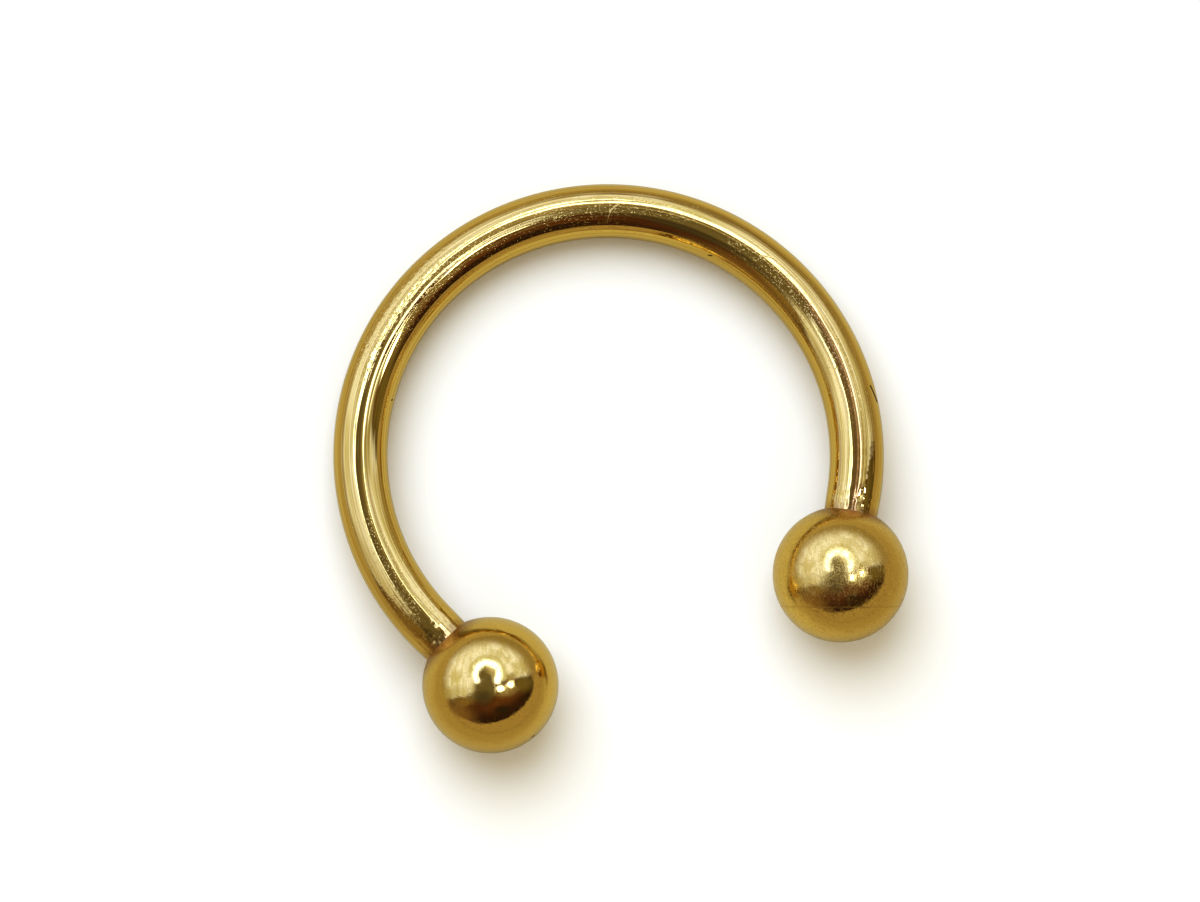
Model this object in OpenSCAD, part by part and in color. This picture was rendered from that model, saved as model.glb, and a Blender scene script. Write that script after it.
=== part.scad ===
// Horseshoe barbell: a round bar bent to an open ring, with a screw-on ball at each end.
// Millimetres, +Z up. It lies by itself on the plane z = 0: the back of the bar and both balls
// touch that plane, the opening between the balls faces -Y, and the origin is the middle of the
// footprint.

/* [Bar] */
// Diameter of the round bar, 16 gauge
bar_d = 1.2; // [1.15:0.05:1.6]
// Inner diameter of the ring that the bar is bent to
ring_inner_d = 9.8; // [8:0.1:14]
// Angle that the bent part of the bar goes round
arc_angle = 235; // [210:1:245]
// Straight length of the bar between each end of the bend and the mouth of its ball
shank_len = 0.4; // [0.2:0.02:0.8]
// How much thinner all round the bar is where each straight end is turned
turned_by = 0.01; // [0.008:0.002:0.02]
// Chamfer on the shoulder where the straight end stops
shoulder_chamfer = 0.03; // [0.01:0.01:0.03]

/* [Ball] */
// Diameter of each ball
ball_d = 3; // [2.6:0.1:4]
// Depth of the seat in the ball that the straight end of the bar enters
seat_depth = 0.12; // [0.08:0.01:0.2]
// Clearance round the straight end in its seat
seat_clear = 0.02; // [0.01:0.005:0.05]
// Gap left between the bar's shoulder and the floor of the seat
shoulder_gap = 0.02; // [0.01:0.005:0.04]
// Chamfer round the mouth of the seat
mouth_chamfer = 0.02; // [0.01:0.01:0.05]

/* [Thread] */
// Outer diameter of the thread on each end of the bar
thread_d = 1; // [0.8:0.05:1]
// Depth of the thread
thread_depth = 0.15; // [0.08:0.01:0.18]
// Distance from one thread to the next
thread_pitch = 0.25; // [0.2:0.01:0.28]
// Number of threads on each post
thread_turns = 6; // [4:1:6]
// Clearance round the thread in the ball's bore
bore_clear = 0.02; // [0.01:0.005:0.04]
// Clearance between the tip of the post and the full width of the bore's end
bore_end_clear = 0.08; // [0.04:0.01:0.15]
// Angle of the drill's point at the bottom of the bore
drill_point_angle = 118; // [90:1:150]

/* [Hidden] */
$fn = 96;
BAR_GOLD = [0.82, 0.68, 0.36];
BALL_GOLD = [0.88, 0.76, 0.45];

bar_r = bar_d / 2;
ball_r = ball_d / 2;
ring_r = ring_inner_d / 2 + bar_r;
half_opening = (360 - arc_angle) / 2;

// The turned end starts inside the bend, which hardly curves away from it there
turned_r = bar_r - turned_by;
turned_from = -0.2;

// Along each thread's axis, from the end of the bend
seat_r = turned_r + seat_clear;
mouth_to_centre = sqrt(pow(ball_r, 2) - pow(seat_r, 2));
ball_at = shank_len + mouth_to_centre;
shoulder_at = shank_len + seat_depth - shoulder_gap;

// Thread in section: a flat root, a flank, a flat crest and a flank in each pitch
thread_r = thread_d / 2;
root_r = thread_r - thread_depth;
root_flat = thread_pitch / 4;
crest_flat = thread_pitch / 8;
flank = (thread_pitch - root_flat - crest_flat) / 2;
tip_chamfer = thread_depth / 2;
tip_at = thread_turns * thread_pitch + root_flat;
post_len = tip_at + tip_chamfer;

// The bore clears the post all round, and ends in the drill's point
bore_r = thread_r + bore_clear;
bore_depth = seat_depth + post_len + bore_end_clear;
drill_point_h = bore_r / tan(drill_point_angle / 2);

// Centre of each ball, as seen from the centre of the flat ring
ball_y = -ring_r * cos(half_opening) - ball_at * sin(half_opening);

// The balls are wider than the bar, so they hold the front of the ring up
rest_tilt = asin((ball_r - bar_r) / (ring_r - ball_y));
lift = ring_r * sin(rest_tilt) + bar_r;
back_y = ring_r * cos(rest_tilt) + bar_r;
front_y = ball_y * cos(rest_tilt) - ball_r;
to_middle = -(back_y + front_y) / 2;

// Lays the flat ring down in the pose in which it rests
module at_rest() {
    translate([0, to_middle, lift]) rotate([-rest_tilt, 0, 0]) children();
}

// Turns its children round the ring, from the front at -Y to where the +X end of the bend starts
module from_right_end() {
    rotate([0, 0, half_opening - 90]) children();
}

// Takes its children to the +X end of the bend, with their +Z along the thread, out of the bar
module at_right_end() {
    from_right_end() translate([ring_r, 0, 0]) rotate([90, 0, 0]) children();
}

// The same at the -X end
module at_left_end() {
    from_right_end() rotate([0, 0, arc_angle]) translate([ring_r, 0, 0]) rotate([-90, 0, 0]) children();
}

module bend() {
    from_right_end() rotate_extrude(angle = arc_angle) translate([ring_r, 0]) circle(r = bar_r);
}

// Outline of one thread that starts at height z on the post
function one_thread(z) = [
    [root_r, z],
    [root_r, z + root_flat],
    [thread_r, z + root_flat + flank],
    [thread_r, z + root_flat + flank + crest_flat]
];

// Straight end of the bar in one turned piece: shank, chamfered shoulder and threaded post
module bar_end() {
    shank = [
        [0, turned_from],
        [turned_r, turned_from],
        [turned_r, shoulder_at - shoulder_chamfer],
        [turned_r - shoulder_chamfer, shoulder_at]
    ];
    threads = [for (turn = [0 : thread_turns - 1]) each one_thread(shoulder_at + turn * thread_pitch)];
    tip = [
        [root_r, shoulder_at + thread_turns * thread_pitch],
        [root_r, shoulder_at + tip_at],
        [root_r - tip_chamfer, shoulder_at + post_len],
        [0, shoulder_at + post_len]
    ];
    rotate_extrude() polygon(concat(shank, threads, tip));
}

// Seat for the straight end of the bar, with its chamfered mouth, cut towards -Z
module seat() {
    translate([0, 0, -ball_r]) cylinder(r = seat_r, h = ball_r - mouth_to_centre + seat_depth);
    translate([0, 0, -ball_r])
        cylinder(
            r1 = seat_r + ball_r - mouth_to_centre + mouth_chamfer,
            r2 = seat_r,
            h = ball_r - mouth_to_centre + mouth_chamfer
        );
}

// Blind bore for the threaded post, from the mouth of the seat to the drill's point
module bore() {
    translate([0, 0, -mouth_to_centre]) {
        cylinder(r = bore_r, h = bore_depth);
        translate([0, 0, bore_depth]) cylinder(r1 = bore_r, r2 = 0, h = drill_point_h);
    }
}

// Ball about its own centre, with its mouth towards -Z
module ball() {
    difference() {
        sphere(r = ball_r);
        seat();
        bore();
    }
}

module bar() {
    color(BAR_GOLD) at_rest() {
        bend();
        at_left_end() bar_end();
        at_right_end() bar_end();
    }
}

module ball_left() {
    color(BALL_GOLD) at_rest() at_left_end() translate([0, 0, ball_at]) ball();
}

module ball_right() {
    color(BALL_GOLD) at_rest() at_right_end() translate([0, 0, ball_at]) ball();
}

bar();
ball_left();
ball_right();
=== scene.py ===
"""Looks of a gold horseshoe barbell: a round bar bent to an open ring, with a screw-on ball at each end.

Sizes in the classes are millimetres, in the frame of the flat ring. The finished meshes are in metres, where
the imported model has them. It lies by itself on a pale floor, in the light of a photographer's tent.
"""

import logging
import math
from dataclasses import dataclass
from enum import Enum
from functools import reduce
from typing import Any, Callable, Dict, List, Optional, Sequence, Set, Tuple, Union

import bmesh
import bpy
from bmesh.types import BMesh, BMEdge, BMVert
from mathutils import Matrix, Vector


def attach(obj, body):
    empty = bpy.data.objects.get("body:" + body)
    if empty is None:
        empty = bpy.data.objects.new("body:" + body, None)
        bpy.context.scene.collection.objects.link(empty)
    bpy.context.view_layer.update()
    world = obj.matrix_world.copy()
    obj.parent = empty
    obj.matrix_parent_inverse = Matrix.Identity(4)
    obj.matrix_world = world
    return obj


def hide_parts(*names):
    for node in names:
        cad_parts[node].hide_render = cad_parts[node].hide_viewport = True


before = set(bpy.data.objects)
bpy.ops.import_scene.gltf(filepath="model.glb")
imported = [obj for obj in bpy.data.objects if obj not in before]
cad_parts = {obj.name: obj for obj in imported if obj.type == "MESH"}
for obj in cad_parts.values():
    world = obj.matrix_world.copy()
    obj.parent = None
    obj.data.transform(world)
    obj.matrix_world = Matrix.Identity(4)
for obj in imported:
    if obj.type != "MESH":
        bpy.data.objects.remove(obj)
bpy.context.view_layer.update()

VIEW_GAMMA = 0.7

# Metres in a millimetre.
MM = 0.001

# Points nearer to each other than this, in millimetres, are one.
MERGE = 1e-4

# Points nearer to a cut than this, in millimetres, are on it.
ON_CUT = 1e-5

# Slack on an angle, in radians.
SLACK = 1e-6

# The meshes' attributes: each point's place in its piece's own millimetres, and its distance from the joint.
STOCK = "stock"
REACH = "reach"

log = logging.getLogger("barbell")

Pair = Tuple[float, float]
Colour = Tuple[float, float, float]
Point = Tuple[float, float, float]

ZERO: Point = (0.0, 0.0, 0.0)


class Side(Enum):
    """The two ends of the bar, as they lie in the photograph."""

    LEFT = -1
    RIGHT = 1


@dataclass(frozen=True)
class Wire:
    """The output socket of a node. Plain arithmetic on it adds Math nodes."""

    bench: "Bench"
    socket: bpy.types.NodeSocket

    def maths(self, operation: str, first: Any, second: Any = 0.0) -> "Wire":
        """Adds one Math node on two wires or numbers."""
        return self.bench.node("ShaderNodeMath", {"operation": operation}, {0: first, 1: second})

    def __add__(self, other: Any) -> "Wire":
        """self + other."""
        return self.maths("ADD", self, other)

    __radd__ = __add__

    def __sub__(self, other: Any) -> "Wire":
        """self - other."""
        return self.maths("SUBTRACT", self, other)

    def __rsub__(self, other: Any) -> "Wire":
        """other - self."""
        return self.maths("SUBTRACT", other, self)

    def __mul__(self, other: Any) -> "Wire":
        """self * other."""
        return self.maths("MULTIPLY", self, other)

    __rmul__ = __mul__

    def __truediv__(self, other: Any) -> "Wire":
        """self / other."""
        return self.maths("DIVIDE", self, other)

    def __rtruediv__(self, other: Any) -> "Wire":
        """other / self."""
        return self.maths("DIVIDE", other, self)

    def __abs__(self) -> "Wire":
        """The size of self without its sign."""
        return self.maths("ABSOLUTE", self)

    def root(self) -> "Wire":
        """The square root."""
        return self.maths("SQRT", self)

    def least(self, other: Any) -> "Wire":
        """The smaller of self and other."""
        return self.maths("MINIMUM", self, other)

    def most(self, other: Any) -> "Wire":
        """The larger of self and other."""
        return self.maths("MAXIMUM", self, other)

    def ramp(self, low: float, high: float) -> "Wire":
        """Makes a smooth step of it.

        Args:
            low: where the step is 0. It may be the larger of the two.
            high: where the step is 1.

        Returns:
            The step.
        """
        if low > high:
            return 1.0 - self.ramp(high, low)
        settings = {"interpolation_type": "SMOOTHSTEP"}
        return self.bench.node("ShaderNodeMapRange", settings, {0: self, 1: low, 2: high, 3: 0.0, 4: 1.0})


def largest(wires: Sequence[Wire]) -> Wire:
    """The largest of several wires."""
    return reduce(Wire.most, wires)


class Bench:
    """Where one material's or the world's nodes are wired up."""

    def __init__(self, tree: bpy.types.NodeTree) -> None:
        """Clears the tree and works on it."""
        tree.nodes.clear()
        self.tree = tree

    def node(self, kind: str, settings: Dict[str, Any], sockets: Dict[Any, Any], output: Any = 0) -> Wire:
        """Adds a node.

        Args:
            kind: the node's type.
            settings: values of the node's own properties, set first.
            sockets: wires or values of its inputs, by name or number.
            output: which output is handed on.

        Returns:
            That output.
        """
        made = self.tree.nodes.new(kind)
        for name, value in settings.items():
            setattr(made, name, value)
        for key, value in sockets.items():
            if isinstance(value, Wire):
                self.tree.links.new(value.socket, made.inputs[key])
            else:
                made.inputs[key].default_value = value
        return Wire(self, made.outputs[output])

    def finish(self, kind: str, surface: Wire) -> None:
        """Wires the last shader to the tree's output."""
        made = self.tree.nodes.new(kind)
        self.tree.links.new(surface.socket, made.inputs["Surface"])

    def mix(self, factor: Union[Wire, float], under: Union[Wire, Colour], over: Union[Wire, Colour]) -> Wire:
        """Lays one colour over another: at a factor of 0 the lower one shows, at 1 the upper."""
        sockets = {0: factor, 6: self._full(under), 7: self._full(over)}
        return self.node("ShaderNodeMix", {"data_type": "RGBA", "clamp_factor": True}, sockets, 2)

    @staticmethod
    def _full(colour: Union[Wire, Colour]) -> Any:
        """A colour with its fourth number."""
        return colour if isinstance(colour, Wire) else (*colour, 1.0)

    def vector(self, operation: str, first: Any, second: Any = ZERO, output: int = 0) -> Wire:
        """Adds one Vector Math node and hands on its vector, or with output 1 its number."""
        return self.node("ShaderNodeVectorMath", {"operation": operation}, {0: first, 1: second}, output)

    def dot(self, first: Any, second: Any) -> Wire:
        """How far one vector reaches along another."""
        return self.vector("DOT_PRODUCT", first, second, 1)

    def noise(self, place: Wire, size: Point, turn: Point = ZERO, detail: float = 2.0,
              distortion: float = 0.0, offset: Point = ZERO) -> Wire:
        """Soft random blotches, stretched at will.

        Args:
            place: the point in the piece's own millimetres.
            size: the blotches' length along each axis, in millimetres.
            turn: how the axes are turned, in radians.
            detail: how many finer layers there are.
            distortion: how much the blotches swirl.
            offset: moves the pattern, so that two of them differ.

        Returns:
            A value about 0.5.
        """
        turned = self.node("ShaderNodeVectorRotate", {"rotation_type": "EULER_XYZ"},
                           {"Vector": place, "Rotation": turn})
        scaled = self.node("ShaderNodeMapping", {"vector_type": "POINT"},
                           {"Vector": turned, "Location": offset, "Scale": [1.0 / s for s in size]})
        return self.node("ShaderNodeTexNoise", {"noise_dimensions": "3D"},
                         {"Vector": scaled, "Scale": 1.0, "Detail": detail, "Roughness": 0.55,
                          "Distortion": distortion})

    def bump(self, height: Wire, depth: float, under: Optional[Wire] = None) -> Wire:
        """Turns a height into a tilt of the surface.

        Args:
            height: the height, about 0 to 1.
            depth: what 1 of it measures, in millimetres.
            under: a coarser tilt that this one rides on.

        Returns:
            The normal.
        """
        sockets: Dict[Any, Any] = {"Strength": 1.0, "Distance": depth * MM, "Height": height}
        if under is not None:
            sockets["Normal"] = under
        return self.node("ShaderNodeBump", {}, sockets)

    def relief(self, *layers: Tuple[Wire, float]) -> Wire:
        """Lays bumps over one another.

        Args:
            layers: the coarsest first, each with its height and what 1 of it measures in millimetres.

        Returns:
            The normal.
        """
        normal = self.bump(*layers[0])
        for height, depth in layers[1:]:
            normal = self.bump(height, depth, normal)
        return normal


@dataclass(frozen=True)
class Ring:
    """The line that the bar is bent along, and how the piece lies on the floor."""

    radius: float = 5.5
    arc: float = 235.0
    bar_radius: float = 0.6
    ball_radius: float = 1.5
    seat_radius: float = 0.61
    shank: float = 0.4

    @property
    def half_opening(self) -> float:
        """Half the angle between the ends of the bend, in radians."""
        return math.radians(360.0 - self.arc) / 2

    @property
    def half_length(self) -> float:
        """Length of the bent line from its middle to each end."""
        return self.radius * math.radians(self.arc) / 2

    @property
    def mouth_to_centre(self) -> float:
        """From the plane of a ball's mouth to its centre."""
        return math.sqrt(self.ball_radius**2 - self.seat_radius**2)

    @property
    def ball_at(self) -> float:
        """Along the thread's axis, from the end of the bend to the ball's centre."""
        return self.shank + self.mouth_to_centre

    @property
    def resting(self) -> Matrix:
        """Lays the ring on its balls and its back.

        Returns:
            What takes the flat ring in millimetres to where it lies, in metres.
        """
        ball_y = -self.radius * math.cos(self.half_opening) - self.ball_at * math.sin(self.half_opening)
        tilt = math.asin((self.ball_radius - self.bar_radius) / (self.radius - ball_y))
        lift = self.radius * math.sin(tilt) + self.bar_radius
        back = self.radius * math.cos(tilt) + self.bar_radius
        front = ball_y * math.cos(tilt) - self.ball_radius
        moved = Matrix.Translation((0.0, -(back + front) / 2, lift))
        return Matrix.Scale(MM, 4) @ moved @ Matrix.Rotation(-tilt, 4, "X")

    def end(self, side: Side) -> Matrix:
        """Finds the frame of one end of the bend.

        Args:
            side: which end.

        Returns:
            The frame, with +X away from the ring's centre and +Z along the thread.
        """
        round_to = self.half_opening - math.pi / 2
        if side is Side.LEFT:
            round_to += math.radians(self.arc)
        quarter = math.copysign(math.pi / 2, side.value)
        there = Matrix.Rotation(round_to, 4, "Z") @ Matrix.Translation((self.radius, 0.0, 0.0))
        return there @ Matrix.Rotation(quarter, 4, "X")

    def unbent(self, point: Vector) -> Vector:
        """Where a point of the bar would be if the bar were straight.

        Args:
            point: a point near the bar, in the flat ring's frame.

        Returns:
            Outwards and upwards from the bar's middle line, and along it from the back of the ring.
        """
        turned = math.atan2(-point.x, point.y)
        if abs(turned) <= math.radians(self.arc) / 2 + SLACK:
            return Vector((math.hypot(point.x, point.y) - self.radius, point.z, self.radius * turned))
        side = Side.LEFT if turned > 0 else Side.RIGHT
        local = self.end(side).inverted() @ point
        along = -side.value * (self.half_length + local.z)
        return Vector((local.x, point.z, along))


RING = Ring()


def mesh_of(name: str, bm: BMesh) -> bpy.types.Mesh:
    """Turns a bmesh, which is freed, into a mesh.

    Args:
        name: the mesh's name.
        bm: its shape.

    Returns:
        The mesh.
    """
    mesh = bpy.data.meshes.new(name)
    bm.to_mesh(mesh)
    bm.free()
    return mesh


def added(name: str, data: bpy.types.ID) -> bpy.types.Object:
    """Adds an object to the scene.

    Args:
        name: its name.
        data: its mesh, light or camera.

    Returns:
        The object.
    """
    made = bpy.data.objects.new(name, data)
    bpy.context.scene.collection.objects.link(made)
    return made


def piece(name: str, bm: BMesh, place: Matrix, stock: Callable[[Vector], Vector],
          reach: Callable[[Vector], float], crease: float = 28.0) -> bpy.types.Object:
    """Turns a finished bmesh into an object at the origin.

    Args:
        name: the piece's name.
        bm: its shape, which is freed.
        place: takes the shape to where it lies, in metres.
        stock: gives each point's place in the piece's own millimetres, which its finish is laid out on.
        reach: gives how far each point is from where bar and ball meet, in millimetres.
        crease: faces that meet at more than this angle, in degrees, stay sharp.

    Returns:
        The object.
    """
    bmesh.ops.remove_doubles(bm, verts=bm.verts, dist=MERGE)
    bmesh.ops.recalc_face_normals(bm, faces=bm.faces)
    own = bm.verts.layers.float_vector.new(STOCK)
    far = bm.verts.layers.float.new(REACH)
    for vert in bm.verts:
        vert[own] = stock(vert.co)
        vert[far] = reach(vert.co)
    for face in bm.faces:
        face.smooth = True
    for edge in bm.edges:
        edge.smooth = edge.is_manifold and edge.calc_face_angle(0.0) < math.radians(crease)
    bmesh.ops.transform(bm, matrix=place, verts=bm.verts)
    loose = sum(1 for edge in bm.edges if not edge.is_manifold)
    mesh = mesh_of(name, bm)
    log.info("%s: %d faces, %d open edges", name, len(mesh.polygons), loose)
    return added(name, mesh)


@dataclass(frozen=True)
class ThreadForm:
    """The screw thread on each end of the bar.

    Attributes:
        radius: over the crests.
        depth: from crest to root.
        pitch: height of one turn.
        turns: how many of them show.
        spare_turns: how many more are wound, to be cut off at both ends.
        taper: how fast the crests narrow towards the tip, for each millimetre up.
        steps: straight stretches in one turn.
    """

    radius: float = 0.5
    depth: float = 0.15
    pitch: float = 0.25
    turns: int = 6
    spare_turns: int = 3
    taper: float = 1.5
    steps: int = 48

    @property
    def root(self) -> float:
        """Radius at the bottom of the thread."""
        return self.radius - self.depth

    @property
    def tip(self) -> float:
        """Length of the threaded post without its chamfer."""
        return self.turns * self.pitch + self.pitch / 4

    @property
    def chamfer(self) -> float:
        """Size of the chamfer at the post's tip."""
        return self.depth / 2

    def profile(self) -> List[Pair]:
        """Draws one pitch: a flat root, a flank, a flat crest and a flank.

        Returns:
            Its corners, as radius and height.
        """
        flat, crest = self.pitch / 4, self.pitch / 8
        flank = (self.pitch - flat - crest) / 2
        return [(self.root, 0.0), (self.root, flat), (self.radius, flat + flank),
                (self.radius, flat + flank + crest), (self.root, self.pitch)]

    def cut(self, bm: BMesh, start: float) -> List[BMEdge]:
        """Adds the threaded post on the Z axis.

        Args:
            bm: the mesh that it is added to.
            start: height of the shoulder that it grows from.

        Returns:
            The open edges at the shoulder.
        """
        before = set(bm.verts)
        self._wind(bm, before, start)
        end = start + self.tip + self.chamfer
        taper_from = end - 2 * self.chamfer
        self._slice(bm, before, start, -1, True)
        self._slice(bm, before, end, 1, True)
        self._slice(bm, before, taper_from, 1, False)
        for vert in self._new(bm, before):
            limit = self.radius - max(0.0, vert.co.z - taper_from) * self.taper
            across = math.hypot(vert.co.x, vert.co.y)
            if across > limit:
                vert.co.x *= limit / across
                vert.co.y *= limit / across
        self._cap(bm, before, end)
        return list({e for v in self._new(bm, before) for e in v.link_edges if e.is_boundary})

    def _wind(self, bm: BMesh, before: Set[BMVert], start: float) -> None:
        """Winds the thread round the Z axis, with turns to spare at both ends.

        Args:
            bm: the mesh that it is added to.
            before: the vertices that were there before.
            start: height of the shoulder.
        """
        low = start - self.pitch
        line = [bm.verts.new((r, 0.0, low - self.pitch + z)) for r, z in self.profile()]
        edges = [bm.edges.new(pair) for pair in zip(line, line[1:])]
        turns = self.turns + self.spare_turns
        bmesh.ops.spin(bm, geom=line + edges, cent=(0, 0, 0), axis=(0, 0, 1),
                       dvec=(0.0, 0.0, self.pitch / self.steps), angle=math.tau * turns,
                       steps=self.steps * turns, use_merge=False, use_duplicate=False)
        bmesh.ops.remove_doubles(bm, verts=self._new(bm, before), dist=MERGE)

    def _slice(self, bm: BMesh, before: Set[BMVert], height: float, waste: int, clears: bool) -> None:
        """Cuts the post across.

        Args:
            bm: the mesh that it is in.
            before: the vertices that were there before the post.
            height: where it is cut.
            waste: 1 if what is above the cut is waste, -1 if what is below it.
            clears: whether the waste goes, or only a line is cut.
        """
        verts = self._new(bm, before)
        edges = list({e for v in verts for e in v.link_edges})
        faces = list({f for v in verts for f in v.link_faces})
        bmesh.ops.bisect_plane(bm, geom=verts + edges + faces, dist=ON_CUT, plane_co=(0, 0, height),
                               plane_no=(0, 0, waste), clear_outer=clears, clear_inner=False)

    def _cap(self, bm: BMesh, before: Set[BMVert], end: float) -> None:
        """Closes the post's tip.

        Args:
            bm: the mesh that it is in.
            before: the vertices that were there before the post.
            end: height of the tip.
        """
        rim = {e for v in self._new(bm, before) for e in v.link_edges
               if e.is_boundary and all(abs(w.co.z - end) < MERGE for w in e.verts)}
        cap = bmesh.ops.holes_fill(bm, edges=list(rim), sides=0)
        bmesh.ops.poke(bm, faces=cap["faces"])

    @staticmethod
    def _new(bm: BMesh, before: Set[BMVert]) -> List[BMVert]:
        """The vertices that were not there before."""
        return [v for v in bm.verts if v not in before]


@dataclass(frozen=True)
class BentBar:
    """The round bar: bent, straight at both ends, and threaded.

    Attributes:
        ring: the line that it follows.
        thread: its thread.
        turned_radius: of the turned stretch at each end, which is a hair thinner than the bar.
        blend: heights above the bend where the turned stretch is still wider, and by how much.
        seat_depth: of the seat in the ball.
        shoulder_gap: between the shoulder and the seat's floor.
        shoulder_chamfer: at the shoulder's edge.
        post_room: between the thread's crests and the ring of faces round them.
        around: faces round the bar.
        along: faces along the bend.
    """

    ring: Ring = RING
    thread: ThreadForm = ThreadForm()
    turned_radius: float = 0.59
    blend: Tuple[Pair, ...] = ((0.1, 0.008), (0.25, 0.003))
    seat_depth: float = 0.12
    shoulder_gap: float = 0.02
    shoulder_chamfer: float = 0.03
    post_room: float = 0.01
    around: int = 96
    along: int = 282

    @property
    def shoulder(self) -> float:
        """Height of the shoulder above the end of the bend."""
        return self.ring.shank + self.seat_depth - self.shoulder_gap

    def build(self) -> bpy.types.Object:
        """Models the whole bar as one closed skin.

        Returns:
            The object.
        """
        end = self._end()
        bm = bmesh.new()
        circle = bmesh.ops.create_circle(bm, cap_ends=False, segments=self.around,
                                         radius=self.ring.bar_radius, matrix=self.ring.end(Side.RIGHT))
        bmesh.ops.spin(bm, geom=circle["verts"] + bm.edges[:], cent=(0, 0, 0), axis=(0, 0, 1),
                       dvec=(0, 0, 0), angle=math.radians(self.ring.arc), steps=self.along,
                       use_merge=False, use_duplicate=False)
        for side in Side:
            there = self.ring.end(side)
            end.transform(there)
            bm.from_mesh(end)
            end.transform(there.inverted())
        bpy.data.meshes.remove(end)
        mouth, unbent = self.ring.half_length + self.ring.shank, self.ring.unbent
        return piece("bar", bm, self.ring.resting, unbent, lambda co: mouth - abs(unbent(co).z))

    def _end(self) -> bpy.types.Mesh:
        """Models the shank, the shoulder and the threaded post on the Z axis, from the end of the bend.

        Returns:
            Their mesh, open where the bend goes on.
        """
        bm = bmesh.new()
        bmesh.ops.create_circle(bm, cap_ends=False, segments=self.around, radius=self.ring.bar_radius)
        loop = bm.edges[:]
        full = self.turned_radius
        sections = [(up, full + wider) for up, wider in self.blend]
        sections += [
            (self.ring.shank, full),
            (self.shoulder - self.shoulder_chamfer, full),
            (self.shoulder, full - self.shoulder_chamfer),
            (self.shoulder, self.thread.radius + self.post_room),
        ]
        height, radius = 0.0, self.ring.bar_radius
        for up, wide in sections:
            grown = bmesh.ops.extrude_edge_only(bm, edges=loop)["geom"]
            verts = [g for g in grown if isinstance(g, BMVert)]
            loop = [g for g in grown if isinstance(g, BMEdge)]
            bmesh.ops.scale(bm, vec=(wide / radius, wide / radius, 1.0), verts=verts)
            bmesh.ops.translate(bm, vec=(0.0, 0.0, up - height), verts=verts)
            height, radius = up, wide
        rim = self.thread.cut(bm, self.shoulder)
        bmesh.ops.bridge_loops(bm, edges=loop + rim)
        return mesh_of("bar_end", bm)


@dataclass(frozen=True)
class ScrewBall:
    """One ball: polished outside, with a seat for the bar and a blind bore for the thread.

    Attributes:
        side: the end of the bar that it is on.
        ring: the line that the bar follows.
        thread: the bar's thread.
        seat_depth: of the seat that takes the shoulder.
        mouth_chamfer: at the seat's outer edge.
        bore_clear: between the crests and the bore.
        bore_end_clear: between the post's tip and the bore's end.
        drill_angle: of the bore's point, in degrees.
        around: faces round the ball.
        down: faces from its top to its mouth.
    """

    side: Side
    ring: Ring = RING
    thread: ThreadForm = ThreadForm()
    seat_depth: float = 0.12
    mouth_chamfer: float = 0.02
    bore_clear: float = 0.02
    bore_end_clear: float = 0.08
    drill_angle: float = 118.0
    around: int = 160
    down: int = 84

    @property
    def name(self) -> str:
        """Name of the ball's piece, node and body."""
        return f"ball_{self.side.name.lower()}"

    @property
    def place(self) -> Matrix:
        """Takes the ball's own frame, mouth towards -Z, to the flat ring's."""
        return self.ring.end(self.side) @ Matrix.Translation((0.0, 0.0, self.ring.ball_at))

    @property
    def centre(self) -> Vector:
        """The ball's centre where it lies, in metres."""
        return self.ring.resting @ self.place @ Vector((0.0, 0.0, 0.0))

    def mouth(self) -> Pair:
        """Finds the edge where the mouth's chamfer meets the outside.

        Returns:
            Its radius and its height.
        """
        ball, deep = self.ring.ball_radius, self.ring.mouth_to_centre
        wide = self.ring.seat_radius + self.mouth_chamfer
        half = (wide + deep) / 2
        out = -half + math.sqrt(half * half - (wide * wide + deep * deep - ball * ball) / 2)
        return wide + out, -(deep + out)

    def inside(self) -> List[Pair]:
        """Draws the seat, the bore and its drill point.

        Returns:
            Their corners from the mouth inwards, as radius and height.
        """
        seat, bore = self.ring.seat_radius, self.thread.radius + self.bore_clear
        mouth = -self.ring.mouth_to_centre
        floor = mouth + self.seat_depth
        bore_top = floor + self.thread.tip + self.thread.chamfer + self.bore_end_clear
        point = bore_top + bore / math.tan(math.radians(self.drill_angle) / 2)
        return [(seat, mouth + self.mouth_chamfer), (seat, floor), (bore, floor), (bore, bore_top),
                (0.0, point)]

    def build(self) -> bpy.types.Object:
        """Turns the ball on its axis: the outside first, then the mouth, the seat and the bore.

        Returns:
            The object.
        """
        bm = bmesh.new()
        edge_r, edge_z = self.mouth()
        top = bm.verts.new((0.0, 0.0, self.ring.ball_radius))
        arc = bmesh.ops.spin(bm, geom=[top], cent=(0, 0, 0), axis=(0, 1, 0), dvec=(0, 0, 0),
                             angle=math.atan2(edge_r, edge_z), steps=self.down, use_merge=False,
                             use_duplicate=False)
        tail = next(g for g in arc["geom_last"] if isinstance(g, BMVert))
        for r, z in self.inside():
            tail = bmesh.ops.extrude_vert_indiv(bm, verts=[tail])["verts"][0]
            tail.co = (r, 0.0, z)
        outline = list(bm.verts) + list(bm.edges)
        bmesh.ops.spin(bm, geom=outline, cent=(0, 0, 0), axis=(0, 0, 1), dvec=(0, 0, 0), angle=math.tau,
                       steps=self.around, use_merge=True, use_duplicate=False)
        bmesh.ops.transform(bm, matrix=self.place, verts=bm.verts)
        centre, resting, back = self.centre, self.ring.resting, self.place.inverted()
        deep = self.ring.mouth_to_centre
        return piece(self.name, bm, resting, lambda co: (resting @ co - centre) / MM,
                     lambda co: (back @ co).z + deep)


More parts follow.
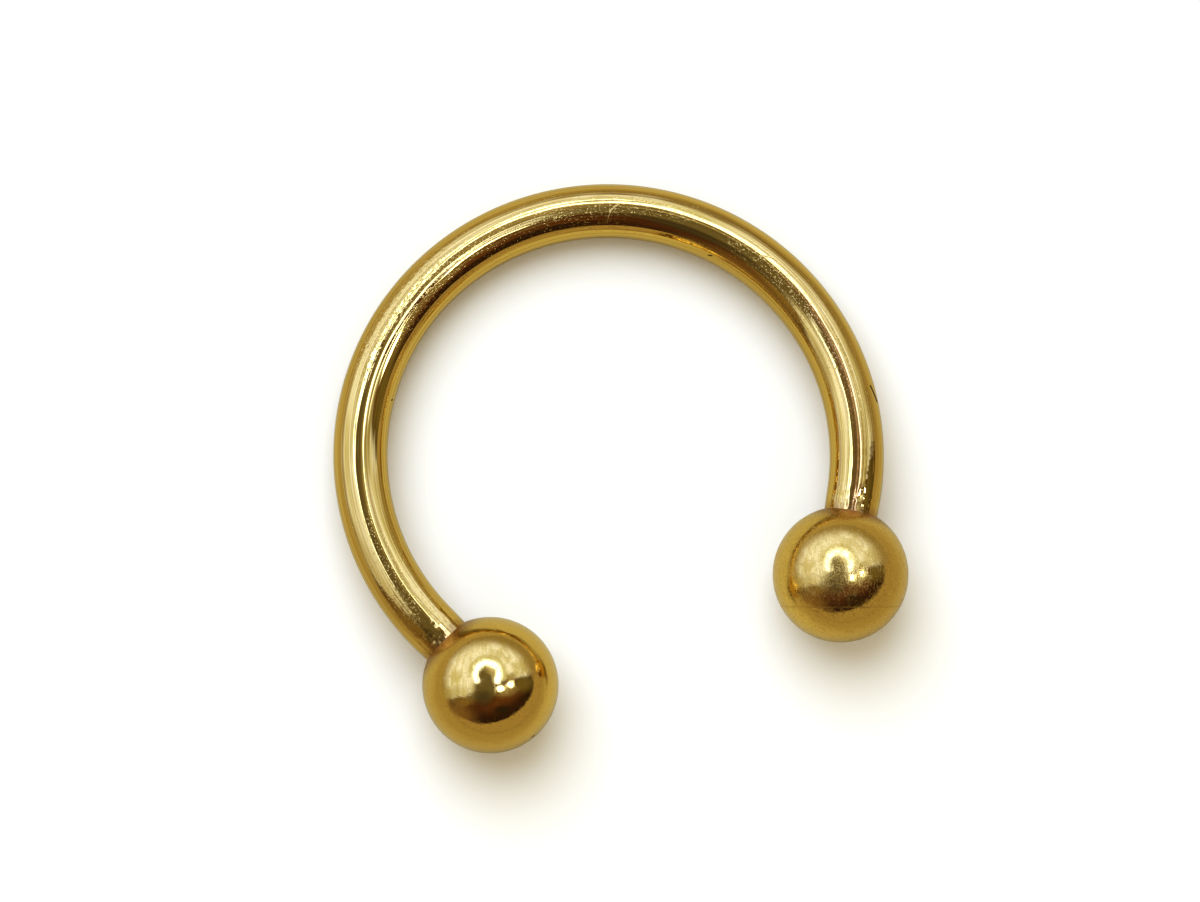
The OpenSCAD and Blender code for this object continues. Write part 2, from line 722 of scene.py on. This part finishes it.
@dataclass(frozen=True)
class Camera:
    """The photograph's view, fitted to the ring and both balls.

    Attributes:
        turn: how far the piece is turned in the picture, in degrees.
        lean: how far the camera leans to the right and up from straight above, as sines.
        frame_width: what the picture spans at the piece.
        lens: focal length.
        sensor: width of the sensor.
        aim: where the picture's middle is, right of and above the ring's centre.
        ring_centre: the ring's centre in the world.
        clip: the nearest and furthest that is drawn, as shares of the way to the piece.
    """

    turn: float = 17.42
    lean: Pair = (-0.05, -0.075)
    frame_width: float = 26.59
    lens: float = 200.0
    sensor: float = 36.0
    aim: Pair = (-0.195, 0.078)
    ring_centre: Point = (0.0, -0.24197, 1.11509)
    clip: Pair = (0.2, 50.0)

    @property
    def axes(self) -> Tuple[Vector, Vector, Vector]:
        """Works out how the camera is turned.

        Returns:
            The picture's right and up, and the way to the camera, in the world.
        """
        turn = math.radians(self.turn)
        flat_right = Vector((math.cos(turn), -math.sin(turn), 0.0))
        flat_up = Vector((math.sin(turn), math.cos(turn), 0.0))
        x, y = self.lean
        out = flat_right * x + flat_up * y + Vector((0.0, 0.0, math.sqrt(1.0 - x * x - y * y)))
        right = (flat_right - out * x).normalized()
        return right, out.cross(right), out

    def set_up(self) -> None:
        """Makes the camera the scene's own."""
        right, up, out = self.axes
        data = bpy.data.cameras.new("camera")
        data.lens, data.sensor_width = self.lens, self.sensor
        far = self.frame_width * self.lens / self.sensor
        data.clip_start, data.clip_end = (far * MM * share for share in self.clip)
        made = added("camera", data)
        target = Vector(self.ring_centre) + right * self.aim[0] + up * self.aim[1]
        turned = Matrix((right, up, out)).transposed().to_4x4()
        made.matrix_world = Matrix.Translation((target + out * far) * MM) @ turned
        bpy.context.scene.camera = made


@dataclass(frozen=True)
class Patch:
    """A soft oval of light or shade in the tent, as the mirror ball shows it.

    Attributes:
        centre: where it is, across and up.
        size: half its width and half its height.
        colour: its colour.
        strength: how much it covers in its middle.
        turn: how far it is turned, in radians.
        soft: how far its edge fades inwards and outwards, as a share of its size.
    """

    centre: Pair
    size: Pair
    colour: Colour
    strength: float = 1.0
    turn: float = 0.0
    soft: float = 0.3


@dataclass(frozen=True)
class Canvas:
    """A mirror ball under the camera, which the tent is painted on.

    Attributes:
        bench: the world's nodes.
        u: how far right a place is on the ball, with 1 at its rim.
        v: how far up it is.
    """

    bench: Bench
    u: Wire
    v: Wire

    def oval(self, centre: Pair, size: Pair, turn: float = 0.0) -> Wire:
        """Measures how far out a place is in an oval.

        Args:
            centre: the oval's centre.
            size: half its width and half its height.
            turn: how far it is turned, in radians.

        Returns:
            0 at the centre, 1 on the oval.
        """
        c, s = math.cos(turn), math.sin(turn)
        x, y = self.u - centre[0], self.v - centre[1]
        along = (x * c + y * s) / size[0]
        across = (y * c - x * s) / size[1]
        return (along * along + across * across).root()

    def lay(self, under: Wire, *patches: Patch) -> Wire:
        """Lays soft patches over a colour, one after another.

        Args:
            under: the colour.
            patches: the patches.

        Returns:
            The colour with the patches on it.
        """
        for patch in patches:
            far = self.oval(patch.centre, patch.size, patch.turn)
            cover = far.ramp(1.0 + patch.soft, 1.0 - patch.soft) * patch.strength
            under = self.bench.mix(cover, under, patch.colour)
        return under


@dataclass(frozen=True)
class Tent:
    """The photographer's light tent, as the gold shows it.

    Attributes:
        camera: the camera over the ball.
        dome: the tent's cloth where it is dimmer.
        bright: the cloth where the light falls on it.
        dim: shade on the cloth.
        skirt: the cloth's foot, round the dome.
        front: the table before the tent.
        opening: the dark in the tent's doorway, at its middle.
        deep: the same at its edge.
        shade: the dark round shape that stands in the doorway.
        lamp: the two lamps.
        glow: the bright arch behind the dark shape.
        ambient: the light that falls on what isn't shiny.
        backdrop: what the camera sees past the floor.
    """

    camera: Camera
    dome: Colour = (0.84, 0.94, 1.40)
    bright: Colour = (1.12, 1.38, 3.10)
    dim: Colour = (0.70, 0.78, 0.80)
    skirt: Colour = (0.45, 0.42, 0.36)
    front: Colour = (0.53, 0.47, 0.38)
    opening: Colour = (0.17, 0.085, 0.06)
    deep: Colour = (0.07, 0.04, 0.03)
    shade: Colour = (0.27, 0.26, 0.25)
    lamp: Colour = (5.2, 6.6, 12.5)
    glow: Colour = (2.2, 2.8, 6.2)
    ambient: Colour = (0.80, 0.735, 0.58)
    backdrop: Colour = (1.3, 1.3, 1.3)

    def hang(self) -> None:
        """Paints the world."""
        world = bpy.data.worlds.new("tent")
        world.use_nodes = True
        world.cycles.sampling_method = "NONE"
        bpy.context.scene.world = world
        bench = Bench(world.node_tree)
        right, up, out = self.camera.axes
        way = bench.node("ShaderNodeTexCoord", {}, {}, "Generated")
        facing = bench.vector("NORMALIZE", bench.vector("ADD", way, tuple(out)))
        seen = self._paint(Canvas(bench, bench.dot(facing, tuple(right)), bench.dot(facing, tuple(up))))
        lit = bench.mix(bench.node("ShaderNodeLightPath", {}, {}, "Is Glossy Ray"), self.ambient, seen)
        shown = bench.mix(bench.node("ShaderNodeLightPath", {}, {}, "Is Camera Ray"), lit, self.backdrop)
        sky = bench.node("ShaderNodeBackground", {}, {"Color": shown, "Strength": 1.0})
        bench.finish("ShaderNodeOutputWorld", sky)

    def _cloth(self, canvas: Canvas) -> Wire:
        """Paints the tent's white cloth with its folds: upright on the left, slanting on the right.

        Args:
            canvas: what it is painted on.

        Returns:
            The colour.
        """
        bench = canvas.bench
        place = bench.node("ShaderNodeCombineXYZ", {}, {0: canvas.u, 1: canvas.v, 2: 0.0})
        upright = bench.noise(place, (0.045, 0.30, 1.0), (0.0, 0.0, 0.15), detail=3.0, distortion=0.25)
        slanting = bench.noise(place, (0.045, 0.32, 1.0), (0.0, 0.0, -0.66), detail=3.0, distortion=0.2)
        streaks = bench.node("ShaderNodeMix", {"data_type": "FLOAT"},
                             {0: canvas.u.ramp(-0.05, 0.12), 2: upright, 3: slanting})
        broad = bench.noise(place, (0.22, 0.2, 1.0), detail=2.0, offset=(2.0, 5.0, 0.0))
        light = (streaks * 0.62 + broad * 0.38).ramp(0.38, 0.60)
        return canvas.lay(
            bench.mix(light, self.dome, self.bright),
            Patch((0.45, 0.27), (0.09, 0.15), self.dim, 0.5, -0.5, 0.6),
            Patch((0.13, 0.47), (0.05, 0.09), self.dim, 0.55, -0.6, 0.7),
            Patch((0.16, 0.21), (0.07, 0.07), self.dim, 0.6, 0.0, 0.6),
            Patch((-0.50, 0.05), (0.05, 0.14), self.dim, 0.35, 0.2, 0.7),
            Patch((-0.34, 0.06), (0.035, 0.15), self.bright, 0.8, -0.05, 0.6),
            Patch((-0.15, 0.47), (0.13, 0.06), self.bright, 0.7, 0.35, 0.8),
            Patch((0.27, 0.30), (0.025, 0.15), self.bright, 0.75, -0.62, 0.7),
        )

    def _paint(self, canvas: Canvas) -> Wire:
        """Paints the whole tent as the gold shows it.

        Args:
            canvas: what it is painted on.

        Returns:
            The colour.
        """
        bench, u, v = canvas.bench, canvas.u, canvas.v
        inside = canvas.oval((-0.035, 0.09), (0.59, 0.53))
        dome = bench.mix(inside.ramp(1.16, 0.87), self.skirt, self._cloth(canvas))
        sill = v - 0.05 - u * 0.18 - u.least(0.0).most(-0.35) * 0.38
        colour = bench.mix(sill.ramp(0.02, -0.03), dome, self._doorway(canvas))
        return canvas.lay(
            self._figure(canvas, colour),
            Patch((0.155, -0.038), (0.050, 0.043), self.lamp, 1.0, 0.0, 0.35),
            Patch((0.30, 0.022), (0.044, 0.044), self.lamp, 1.0, 0.0, 0.3),
        )

    def _doorway(self, canvas: Canvas) -> Wire:
        """Paints the dark doorway in the tent's front, and what is before it.

        Args:
            canvas: what it is painted on.

        Returns:
            The colour.
        """
        door = canvas.oval((0.01, -0.046), (0.634, 0.477), 0.319)
        room = canvas.lay(
            canvas.bench.mix(door.ramp(0.55, 0.95), self.opening, self.deep),
            Patch((-0.38, -0.23), (0.20, 0.07), (0.40, 0.34, 0.20), 0.85, 0.3, 0.7),
            Patch((-0.42, -0.40), (0.20, 0.11), (0.36, 0.26, 0.17), 0.9, -0.4, 0.8),
            Patch((0.20, -0.20), (0.22, 0.07), (0.25, 0.13, 0.06), 0.7, 0.45, 0.8),
            Patch((0.17, -0.34), (0.10, 0.06), (0.05, 0.05, 0.045), 0.8, 0.2, 0.8),
            Patch((0.50, 0.03), (0.14, 0.11), (0.30, 0.28, 0.17), 0.85, 0.3, 0.7),
            Patch((-0.55, -0.27), (0.05, 0.04), (0.10, 0.06, 0.04), 0.7, 0.0, 0.6),
        )
        front = canvas.bench.mix(door.ramp(1.025, 0.99), self.front, room)
        return canvas.lay(front, Patch((-0.60, -0.36), (0.16, 0.14), (0.33, 0.27, 0.22), 0.7, 0.0, 0.7))

    def _figure(self, canvas: Canvas, under: Wire) -> Wire:
        """Paints the dark round shape in the doorway, with the bright arch behind it.

        Args:
            canvas: what it is painted on.
            under: the colour behind it.

        Returns:
            The colour.
        """
        bench, u, v = canvas.bench, canvas.u, canvas.v
        colour = canvas.lay(
            under,
            Patch((0.30, 0.13), (0.07, 0.05), (0.42, 0.40, 0.25), 0.8, 0.6, 0.6),
            Patch((-0.57, -0.11), (0.20, 0.08), (0.60, 0.62, 0.66), 0.7, 0.25, 0.7),
            Patch((-0.08, -0.03), (0.15, 0.19), self.shade, 1.0, 0.0, 0.3),
            Patch((-0.15, -0.13), (0.17, 0.07), self.shade, 0.9, 0.15, 0.6),
            Patch((-0.055, 0.15), (0.115, 0.14), self.shade, 1.0, 0.0, 0.40),
            Patch((-0.10, -0.16), (0.12, 0.09), (0.13, 0.12, 0.11), 0.8, 0.0, 0.7),
            Patch((0.08, 0.15), (0.05, 0.10), (0.42, 0.40, 0.32), 0.8, 0.1, 0.5),
            Patch((0.03, 0.25), (0.08, 0.07), (0.80, 0.82, 0.95), 0.7, 0.0, 0.8),
            Patch((0.24, -0.07), (0.15, 0.07), (0.50, 0.50, 0.52), 0.8, 0.25, 0.7),
        )
        hoop = canvas.oval((-0.038, 0.172), (0.174, 0.174))
        halo = abs(hoop - 1.5).ramp(0.24, 0.10) * (v - 0.08).ramp(0.0, 0.08) * 0.55
        colour = bench.mix(halo, colour, self.dim)
        band = (hoop - 1.02).most((1.0 - hoop) * 0.9).ramp(0.30, 0.14)
        arch = band * (v + abs(u + 0.04) * 0.7).ramp(0.11, 0.17)
        return bench.mix(arch, colour, self.glow)


@dataclass(frozen=True)
class Studio:
    """The pale floor and the soft light from the upper left.

    Attributes:
        camera: the camera, whose picture the light's place is given in.
        floor_size: side of the floor, in metres.
        paper: the floor's colour.
        near_floor_shade: painted shade: the floor near the piece as the gold shows it, dimmer than the paper.
        far: painted shade: the floor further off as the gold shows it, darker still.
        fade: from where to where the one turns into the other.
        key_power: the light's power, in watts.
        key_size: its width, in metres.
        key_far: its distance, in metres.
        key_colour: its colour.
        key_way: where it is to the right and up in the picture, for each metre that it is above the floor.
    """

    camera: Camera
    floor_size: float = 2.0
    paper: Colour = (0.93, 0.93, 0.93)
    near_floor_shade: Colour = (0.59, 0.59, 0.53)
    far: Colour = (0.45, 0.41, 0.34)
    fade: Pair = (5.0, 14.0)
    key_power: float = 0.80
    key_size: float = 0.31
    key_far: float = 0.30
    key_colour: Colour = (0.72, 0.84, 1.03)
    key_way: Pair = (-0.27, 0.61)

    def build(self) -> None:
        """Lays the floor and hangs the light."""
        bm = bmesh.new()
        bmesh.ops.create_grid(bm, x_segments=1, y_segments=1, size=self.floor_size / 2)
        floor = added("floor", mesh_of("floor", bm))
        floor.data.materials.append(self._floor_paper())
        self._hang_light()

    def _floor_paper(self) -> bpy.types.Material:
        """Makes the floor's material.

        Returns:
            The material, with painted shade where the gold mirrors it: dimmer than the paper, darker away
            from the piece.
        """
        material = bpy.data.materials.new("floor_paper")
        material.use_nodes = True
        bench = Bench(material.node_tree)
        place = bench.node("ShaderNodeTexCoord", {}, {}, "Object")
        away = bench.vector("LENGTH", place, output=1) / MM
        # Painted shade: rays mirrored by the gold see a dimmer floor, darker away from the piece.
        reflected_floor_shade = bench.mix(away.ramp(*self.fade), self.near_floor_shade, self.far)
        glossy = bench.node("ShaderNodeLightPath", {}, {}, "Is Glossy Ray")
        colour = bench.mix(glossy, self.paper, reflected_floor_shade)
        paper = bench.node("ShaderNodeBsdfDiffuse", {}, {"Color": colour, "Roughness": 0.0})
        bench.finish("ShaderNodeOutputMaterial", paper)
        return material

    def _hang_light(self) -> None:
        """Hangs the soft light, which the gold doesn't mirror."""
        right, up, _ = self.camera.axes
        light = bpy.data.lights.new("softbox", "AREA")
        light.shape, light.size, light.energy = "DISK", self.key_size, self.key_power
        light.color = self.key_colour
        made = added("softbox", light)
        way = (right * self.key_way[0] + up * self.key_way[1] + Vector((0.0, 0.0, 1.0))).normalized()
        made.location = way * self.key_far
        made.rotation_mode = "QUATERNION"
        made.rotation_quaternion = way.to_track_quat("Z", "Y")
        made.visible_glossy = False
        made.visible_camera = False


@dataclass(frozen=True)
class Gold:
    """Polished yellow gold.

    Attributes:
        name: the material's name.
        colour: the gold's colour.
        worn: the same in draw lines and scuffs.
        tarnish_and_shade: the same by the joint: tarnish where it isn't wiped, and painted shade between bar
            and ball.
        nick_shade: painted shade in nicks, near black.
        roughness: of the polish.
    """

    name: str
    colour: Colour = (0.905, 0.654, 0.18)
    worn: Colour = (0.64, 0.43, 0.11)
    tarnish_and_shade: Colour = (0.48, 0.27, 0.10)
    nick_shade: Colour = (0.10, 0.04, 0.015)
    roughness: float = 0.035

    def start(self) -> Tuple[bpy.types.Material, Bench, Wire, Wire]:
        """Opens a new material.

        Returns:
            The material, its nodes, the place in the piece's own millimetres and the way to the joint.
        """
        material = bpy.data.materials.new(self.name)
        material.use_nodes = True
        bench = Bench(material.node_tree)
        place = bench.node("ShaderNodeAttribute", {"attribute_name": STOCK}, {}, "Vector")
        reach = bench.node("ShaderNodeAttribute", {"attribute_name": REACH}, {}, "Fac")
        return material, bench, place, reach

    def close(self, bench: Bench, colour: Wire, rough: Wire, normal: Wire) -> None:
        """Wires the metal up, with its colour, its roughness and the tilt of its surface."""
        metal = bench.node("ShaderNodeBsdfPrincipled", {},
                           {"Base Color": colour, "Metallic": 1.0, "Roughness": rough, "Normal": normal})
        bench.finish("ShaderNodeOutputMaterial", metal)


@dataclass(frozen=True)
class Scratch:
    """A scratch on the bar's upper side.

    Attributes:
        points: its course, outwards from the bar's middle line and along it from the back of the ring.
        width: its half width.
        core: the share of that over which it is at its deepest.
    """

    points: Tuple[Pair, ...]
    width: float = 0.022
    core: float = 0.3

    def cover(self, across: Wire, along: Wire) -> Wire:
        """Where the scratch is: 1 in its middle, 0 off it."""
        ends = zip(self.points, self.points[1:])
        return largest([self._line(across, along, start, end) for start, end in ends])

    def _line(self, across: Wire, along: Wire, start: Pair, end: Pair) -> Wire:
        """Finds where one straight stretch of it is.

        Args:
            across: how far outwards a place is.
            along: how far along the bar.
            start: one end of the stretch.
            end: its other end.

        Returns:
            1 in the stretch's middle, 0 off it.
        """
        run = (end[0] - start[0], end[1] - start[1])
        long = run[0] ** 2 + run[1] ** 2
        x, y = across - start[0], along - start[1]
        part = ((x * run[0] + y * run[1]) / long).most(0.0).least(1.0)
        off_x, off_y = x - part * run[0], y - part * run[1]
        return (off_x * off_x + off_y * off_y).root().ramp(self.width, self.width * self.core)


@dataclass(frozen=True)
class BarGold(Gold):
    """The bar's finish: drawn wire, bright along its length, with draw lines, grain and old scratches.

    Attributes:
        reflection_tint: painted reflection colour: a redder stripe on the right arm, where its dark band of
            reflection lies.
        hairs: fine bright scratches.
        nicks: dark nicks.
    """

    reflection_tint: Colour = (0.80, 0.44, 0.17)
    hairs: Tuple[Scratch, ...] = (
        Scratch(((0.044, -1.91), (-0.078, -1.745), (-0.244, -1.68), (-0.355, -1.66))),
        Scratch(((0.60, 4.62), (0.40, 4.60))),
        Scratch(((0.02, -5.30), (0.16, -5.55))),
    )
    nicks: Tuple[Scratch, ...] = (
        Scratch(((0.485, -8.95), (0.56, -9.28)), 0.024),
        Scratch(((-0.53, -4.24), (-0.51, -4.33)), 0.013),
        Scratch(((-0.55, 5.63), (-0.56, 5.60)), 0.018),
    )

    def material(self) -> bpy.types.Material:
        """Makes the material.

        Returns:
            The bar's gold.
        """
        material, bench, place, reach = self.start()
        across, height, along = (bench.node("ShaderNodeSeparateXYZ", {}, {"Vector": place}, axis)
                                 for axis in range(3))
        ridges = bench.noise(place, (0.10, 0.10, 10.0), detail=1.0, offset=(1.0, 4.0, 0.0))
        waves = bench.noise(place, (0.4, 0.4, 1.7), detail=1.0, offset=(3.0, 1.0, 0.0))
        dents = bench.noise(place, (0.09, 0.09, 0.075), detail=1.0, offset=(6.0, 1.0, 2.0))
        wavy = bench.noise(place, (0.22, 0.22, 0.20), detail=1.0, offset=(2.0, 2.0, 7.0))
        lines = bench.noise(place, (0.045, 0.045, 6.0), detail=1.0, offset=(5.0, 0.0, 3.0))
        grain = bench.noise(place, (0.035, 0.035, 0.055), detail=3.0, offset=(7.0, 0.0, 5.0)).ramp(0.56, 0.72)
        patchy = bench.noise(place, (0.5, 0.5, 1.2), detail=2.0, offset=(0.0, 9.0, 2.0)).ramp(0.35, 0.60)

        dented = along.ramp(1.5, 2.4) * along.ramp(6.0, 4.6) * across.ramp(-0.02, 0.14)
        grainy = along.ramp(5.0, 3.8) * along.ramp(-11.0, -8.0) + along.ramp(7.8, 9.0)
        grainy = grainy * (patchy * 0.75 + 0.25)
        pinched = reach.ramp(0.75, 0.15) + reach.ramp(2.6, 0.6) * 0.3
        off_thread = reach.ramp(-0.25, -0.05) * 0.8 + 0.2
        # Tarnish and painted shade by the joint: darker, browner and rougher where the bar meets the ball.
        tarnish_and_shade_cover = reach.ramp(0.26, 0.0) * (grain * 0.4 + 0.45) * off_thread
        # Painted reflection colour: a redder, rougher stripe along the middle of the right arm.
        reflection_tint_stripe = abs(across).ramp(0.14, 0.03) * along.ramp(-5.0, -7.5) * 0.5
        upper = height.ramp(-0.05, 0.05)
        scratched = largest([mark.cover(across, along) for mark in self.hairs]) * upper
        nicked = largest([mark.cover(across, along) for mark in self.nicks]) * upper

        drawn = lines.ramp(0.50, 0.62) * 0.6 + ridges.ramp(0.50, 0.60) * 0.35
        colour = bench.mix(drawn, self.colour, self.worn)
        colour = bench.mix(reflection_tint_stripe, colour, self.reflection_tint)
        colour = bench.mix(tarnish_and_shade_cover, colour, self.tarnish_and_shade)
        # Painted shade in the nicks: near black.
        colour = bench.mix(nicked, colour, self.nick_shade)
        rough = self.roughness + lines * 0.02 + grainy * 0.03 + reflection_tint_stripe * 0.12 + tarnish_and_shade_cover * 0.2
        rough = rough + scratched * 0.35 + nicked * 0.4
        normal = bench.relief(
            (ridges, 0.012),
            (waves, 0.022),
            (dents * dented, 0.012),
            (wavy * pinched, 0.020),
            (grain * grainy, 0.0021),
            (lines, 0.0012),
            (scratched + nicked, 0.004),
        )
        self.close(bench, colour, rough, normal)
        return material


@dataclass(frozen=True)
class BallGold(Gold):
    """The balls' finish: polished, rubbed satin by wear, with fine scratches, specks and a faint seam.

    Attributes:
        haze: how satin it is.
        seam: the way across the seam's plane.
        seam_at: how far that way the seam is from the ball's centre.
        nick: where a dark nick is, from the ball's centre.
        rubbed: where the ball is rubbed dull, from its centre.
    """

    nick_shade: Colour = (0.16, 0.07, 0.025)
    haze: float = 0.05
    seam: Optional[Point] = None
    seam_at: float = -0.67
    nick: Optional[Point] = None
    rubbed: Optional[Point] = None

    def material(self) -> bpy.types.Material:
        """Makes the material.

        Returns:
            The ball's gold.
        """
        material, bench, place, reach = self.start()
        wisps = bench.noise(place, (1.1, 0.045, 0.045), (0.4, 0.2, 0.7), detail=3.0, distortion=0.3)
        cross = bench.noise(place, (0.04, 0.9, 0.04), (0.1, 0.5, 0.3), detail=3.0, distortion=0.3)
        upright = bench.noise(place, (0.04, 1.2, 0.04), (0.0, 0.0, 0.05), detail=2.0, offset=(4.0, 0.0, 4.0))
        cloudy = bench.noise(place, (0.5, 0.5, 0.5), detail=2.0)
        grainy = bench.noise(place, (0.06, 0.06, 0.06), detail=3.0, offset=(1.0, 2.0, 3.0))
        specks = bench.noise(place, (0.07, 0.07, 0.07), detail=1.0, offset=(5.0, 5.0, 3.0)).ramp(0.70, 0.77)
        low = bench.node("ShaderNodeSeparateXYZ", {}, {"Vector": place}, 2).ramp(0.9, 0.3)

        satin = cloudy.ramp(0.35, 0.7)
        edges = (0.62 - self.haze * 0.5, 0.69 - self.haze * 0.5)
        scuffs = largest([scratches.ramp(*edges) for scratches in (wisps, cross, upright)])
        # Tarnish and painted shade by the joint; dark specks in the same colour, only towards the bottom of
        # the ball.
        tarnish_and_shade_cover = (reach.ramp(0.34, 0.02) * 0.75).most(specks * low * 0.8)
        if self.seam is not None:
            seam = abs(bench.dot(place, self.seam) + cloudy * 0.05 - self.seam_at).ramp(0.022, 0.008)
            scuffs = scuffs.most(seam)
            tarnish_and_shade_cover = tarnish_and_shade_cover.most(seam * 0.08)
        colour = bench.mix(grainy.ramp(0.40, 0.75) * 0.25 + scuffs * 0.2, self.colour, self.worn)
        colour = bench.mix(tarnish_and_shade_cover, colour, self.tarnish_and_shade)
        rough = self.roughness + self.haze * satin + scuffs * self.haze * 2.2 + tarnish_and_shade_cover * 0.3
        if self.nick is not None:
            nicked = bench.vector("DISTANCE", place, self.nick, 1).ramp(0.07, 0.03)
            # Painted shade in the nick: near black.
            colour = bench.mix(nicked * 0.85, colour, self.nick_shade)
            rough = rough + nicked * 0.3
        if self.rubbed is not None:
            fine = bench.noise(place, (0.018, 0.018, 0.018), detail=1.0, offset=(3.0, 0.0, 1.0))
            nearby = bench.vector("DISTANCE", place, self.rubbed, 1).ramp(0.70, 0.25)
            rough = rough + fine.ramp(0.54, 0.60) * nearby * 0.32
        normal = bench.relief(
            (cloudy, 0.005),
            (grainy * (0.3 + satin), 0.0011),
            (wisps + cross, 0.0007),
        )
        self.close(bench, colour, rough, normal)
        return material


BALL_FINISHES = {
    Side.LEFT: BallGold("ball_gold", roughness=0.042, haze=0.06, nick=(0.54, -1.36, 0.32)),
    Side.RIGHT: BallGold("ball_gold", roughness=0.075, haze=0.10, seam=(0.299, 0.951, 0.075),
                         rubbed=(-0.13, -0.17, 1.48)),
}


def dress(made: bpy.types.Object, material: bpy.types.Material, node: str) -> None:
    """Gives a piece its finish and ties it to its CAD node.

    Args:
        made: the piece.
        material: its finish.
        node: the CAD node that it stands for, which is also the body that it rides on.
    """
    made.data.materials.append(material)
    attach(made, node)
    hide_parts(node)


def main() -> None:
    """Builds the barbell, the studio and the camera."""
    logging.basicConfig(level=logging.INFO, format="%(message)s")
    camera = Camera()
    camera.set_up()
    bar = BentBar().build()
    dress(bar, BarGold("bar_gold").material(), "bar")
    for side in Side:
        ball = ScrewBall(side)
        dress(ball.build(), BALL_FINISHES[side].material(), ball.name)
    Studio(camera).build()
    Tent(camera).hang()
    view = bpy.context.scene.view_settings
    view.view_transform = "Standard"
    view.look = "None"
    view.gamma = VIEW_GAMMA


if __name__ == "__main__":
    main()
